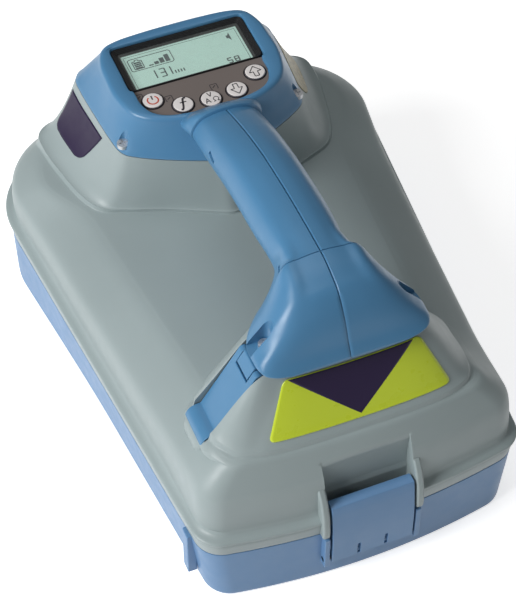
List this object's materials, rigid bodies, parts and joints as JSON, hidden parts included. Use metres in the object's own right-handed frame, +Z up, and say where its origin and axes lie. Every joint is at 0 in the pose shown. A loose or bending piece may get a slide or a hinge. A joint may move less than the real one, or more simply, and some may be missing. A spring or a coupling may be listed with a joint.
{
  "type": "signal transmitter of a cable locator",
  "caption": "Carrying-case signal transmitter of a cable locating set, with display, keys, handle, socket cover and a latched accessory tray hinged at the rear.",
  "frame": {"origin": "centre of the object's box in plan, on the ground under the accessory tray", "axes": "+Z up, +Y from the latch at the front towards the display at the rear, +X to the right seen from the latch"},
  "size_m": [0.2214, 0.3062, 0.1681],
  "materials": {
    "tray_blue": "satin grey-blue moulded plastic",
    "case_grey": "satin grey-green moulded plastic",
    "tool_blue": "satin blue moulded plastic",
    "black_plastic": "matt black plastic",
    "steel": "bright steel",
    "seal_rubber": "soft black rubber",
    "cell_jacket": "printed jacket, filled cell",
    "board": "green circuit board",
    "winding": "varnished copper winding",
    "capacitor_sleeve": "plastic sleeve",
    "ferrite": "dark sintered ferrite",
    "ribbon": "grey ribbon",
    "panel": "matt warm grey keypad overlay",
    "pane": "clear pane",
    "lcd": "pale green liquid crystal",
    "key_white": "satin off-white key cap",
    "label_lime": "printed label film",
    "label_violet": "printed label film",
    "label_pale": "printed label film"
  },
  "bodies": {
    "tray": {"accessory_tray": "tray_blue", "latch_pin": "steel", "hinge_pins": "steel"},
    "case": {"upper_case": "case_grey", "cover_bracket": "tool_blue", "handle_left": "tool_blue", "handle_right": "tool_blue", "display_housing": "tool_blue", "hinge_hooks": "black_plastic", "base_plate": "black_plastic", "battery_door": "black_plastic", "battery_cradle": "black_plastic", "sounder": "black_plastic", "output_socket": "black_plastic", "charger_socket": "black_plastic", "display_carrier": "black_plastic", "window_frame": "black_plastic", "base_screws": "steel", "door_screws": "steel", "contact_plates": "steel", "contact_springs": "steel", "board_screws": "steel", "cover_pin": "steel", "handle_screws": "steel", "housing_screws": "steel", "dome_switches": "steel", "wireless_module": "steel", "case_seal": "seal_rubber", "battery_cells": "cell_jacket", "main_board": "board", "display_board": "board", "output_transformer": "winding", "induction_coil": "winding", "capacitors": "capacitor_sleeve", "ferrite_rod": "ferrite", "ribbon_cable": "ribbon", "keypad_panel": "panel", "window_pane": "pane", "lcd_module": "lcd", "front_label": "label_lime", "left_label": "label_violet", "right_label": "label_pale"},
    "latch": {"latch_plate": "tray_blue"},
    "cover": {"socket_cover": "tool_blue"},
    "key_power": {"key_power": "key_white"},
    "key_frequency": {"key_frequency": "key_white"},
    "key_measure": {"key_measure": "key_white"},
    "key_down": {"key_down": "key_white"},
    "key_up": {"key_up": "key_white"}
  },
  "joints": [
    {"name": "case_lift", "type": "hinge", "parent": "tray", "child": "case", "pos_m": [0, 0.1499, 0.039], "axis": [-1, 0, 0], "range_deg": [0, 70]},
    {"name": "latch_swing", "type": "hinge", "parent": "tray", "child": "latch", "pos_m": [0, -0.1502, 0.0185], "axis": [1, 0, 0], "range_deg": [0, 90]},
    {"name": "cover_swing", "type": "hinge", "parent": "case", "child": "cover", "pos_m": [-0.04455, -0.098, 0.12717], "axis": [0, 1, 0], "range_deg": [0, 110]},
    {"name": "key_power_press", "type": "slide", "parent": "case", "child": "key_power", "axis": [0, 0, -1], "range_m": [0, 0.0008], "stiffness_N_per_m": 700},
    {"name": "key_frequency_press", "type": "slide", "parent": "case", "child": "key_frequency", "axis": [0, 0, -1], "range_m": [0, 0.0008], "stiffness_N_per_m": 700},
    {"name": "key_measure_press", "type": "slide", "parent": "case", "child": "key_measure", "axis": [0, 0, -1], "range_m": [0, 0.0008], "stiffness_N_per_m": 700},
    {"name": "key_down_press", "type": "slide", "parent": "case", "child": "key_down", "axis": [0, 0, -1], "range_m": [0, 0.0008], "stiffness_N_per_m": 700},
    {"name": "key_up_press", "type": "slide", "parent": "case", "child": "key_up", "axis": [0, 0, -1], "range_m": [0, 0.0008], "stiffness_N_per_m": 700}
  ]
}
